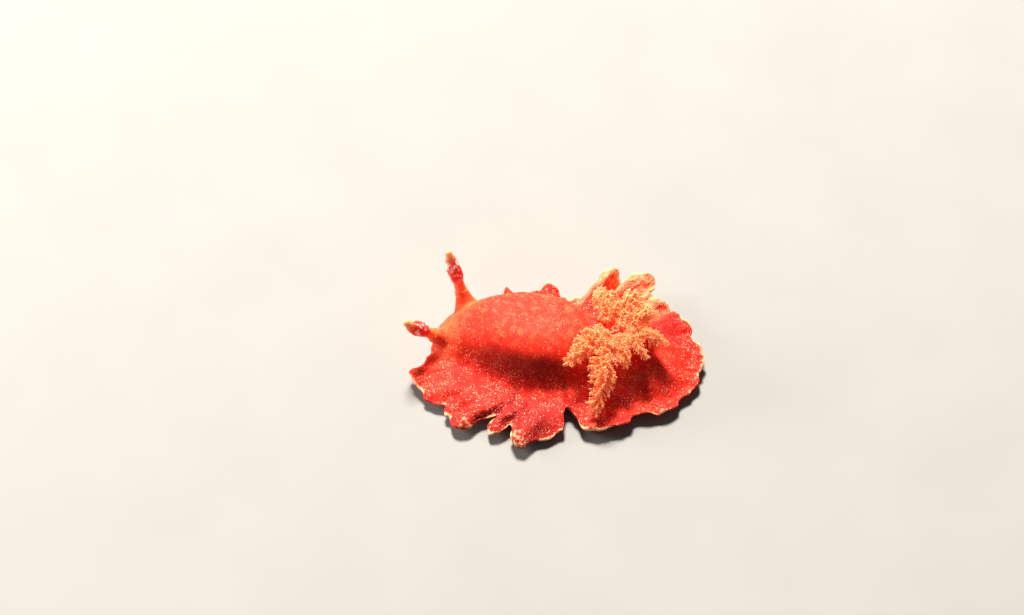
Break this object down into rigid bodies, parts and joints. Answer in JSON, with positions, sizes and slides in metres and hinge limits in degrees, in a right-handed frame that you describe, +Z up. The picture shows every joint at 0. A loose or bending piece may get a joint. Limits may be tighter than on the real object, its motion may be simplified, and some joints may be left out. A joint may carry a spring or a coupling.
{
  "type": "red dorid sea slug, platydoris sanguinea",
  "caption": "Vermilion dorid nudibranch lying on its foot, mantle spread and lobed at its edge, with clubbed rhinophores and a crown of feathery gills.",
  "frame": {"origin": "a point on the flat sole of the foot, near its middle, on the ground", "axes": "+X towards the tail (the head faces -X), +Y towards the animal's right side, +Z up"},
  "size_m": [0.051, 0.0344, 0.0137],
  "materials": {
    "mantle": "wet vermilion skin with fine pale specks and a cream edge",
    "foot": "smooth wet orange-red skin",
    "rhinophores": "deep red plates with pale edges and a cream tip",
    "gills": "thin translucent peach-orange filaments"
  },
  "bodies": {
    "root": {"head": "mantle", "back": "mantle", "rear_back": "mantle", "skirt_left_front": "mantle", "skirt_left_rear": "mantle", "skirt_tail": "mantle", "skirt_right_rear": "mantle", "skirt_right_middle": "mantle", "skirt_right_front": "mantle", "anal_papilla": "mantle", "foot": "foot", "snout": "foot", "oral_tentacle_left": "foot", "oral_tentacle_right": "foot", "rhinophore_left": "rhinophores", "rhinophore_right": "rhinophores", "gill_base": "gills", "gill_1": "gills", "gill_2": "gills", "gill_3": "gills", "gill_4": "gills", "gill_5": "gills", "gill_6": "gills", "gill_7": "gills", "gill_8": "gills"}
  },
  "joints": []
}
